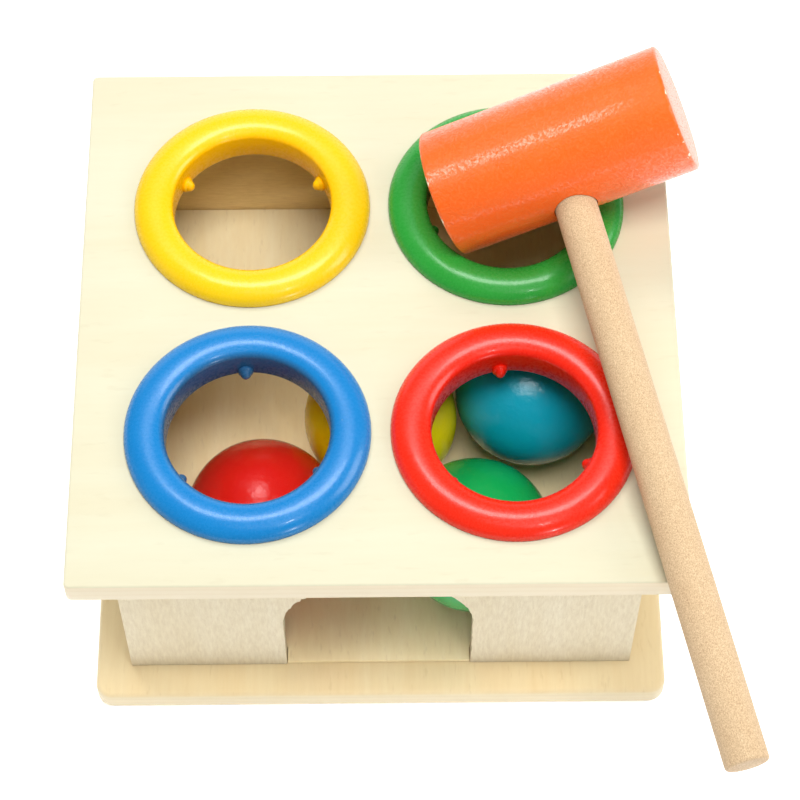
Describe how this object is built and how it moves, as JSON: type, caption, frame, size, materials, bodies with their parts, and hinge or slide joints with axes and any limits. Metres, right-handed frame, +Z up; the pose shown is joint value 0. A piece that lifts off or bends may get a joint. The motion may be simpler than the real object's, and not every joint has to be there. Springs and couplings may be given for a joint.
{
  "type": "ball pounding bench",
  "caption": "Square wooden box toy: balls are pounded with a hammer through ringed holes in the top, roll down an inner ramp and leave by a front arch.",
  "frame": {"origin": "on the table, under the middle of the square panels", "axes": "+Z up, +X to the right, -Y towards the exit arch"},
  "size_m": [0.1857, 0.2236, 0.1375],
  "materials": {
    "ply": "clear varnish",
    "raw_wood": "sanded, uncoated",
    "ring_yellow": "moulded gloss",
    "ring_green": "moulded gloss",
    "ring_blue": "moulded gloss",
    "ring_red": "moulded gloss",
    "ball_red": "gloss paint",
    "ball_yellow": "gloss paint",
    "ball_green": "gloss paint",
    "ball_teal": "gloss paint",
    "head_orange": "satin paint",
    "handle_wood": "sanded, uncoated",
    "screw_steel": "zinc plated"
  },
  "bodies": {
    "bench": {"base_panel": "ply", "top_panel": "ply", "front_wall": "raw_wood", "back_wall": "raw_wood", "left_wall": "raw_wood", "right_wall": "raw_wood", "post_fl": "raw_wood", "post_fr": "raw_wood", "post_bl": "raw_wood", "post_br": "raw_wood", "ramp_floor": "ply", "ramp_cleat": "raw_wood", "ring_yellow": "ring_yellow", "ring_green": "ring_green", "ring_blue": "ring_blue", "ring_red": "ring_red", "screw_fl": "screw_steel", "screw_fr": "screw_steel", "screw_bl": "screw_steel", "screw_br": "screw_steel"},
    "hammer": {"hammer_head": "head_orange", "hammer_handle": "handle_wood"},
    "red_ball": {"ball_red": "ball_red"},
    "yellow_ball": {"ball_yellow": "ball_yellow"},
    "green_ball": {"ball_green": "ball_green"},
    "teal_ball": {"ball_teal": "ball_teal"}
  },
  "joints": [
    {"name": "hammer_lift", "type": "slide", "parent": "bench", "child": "hammer", "axis": [0, 0, 1], "range_m": [0, 0.12]},
    {"name": "yellow_ball_roll", "type": "slide", "parent": "bench", "child": "yellow_ball", "axis": [-0.1392, 0.974, 0.179], "range_m": [0, 0.045]},
    {"name": "teal_ball_roll", "type": "slide", "parent": "bench", "child": "teal_ball", "axis": [0, 0.9835, 0.1808], "range_m": [0, 0.04]},
    {"name": "red_ball_roll", "type": "slide", "parent": "bench", "child": "red_ball", "axis": [-1, 0, 0], "range_m": [0, 0.012]},
    {"name": "green_ball_roll", "type": "slide", "parent": "bench", "child": "green_ball", "axis": [1, 0, 0], "range_m": [0, 0.0085]}
  ]
}
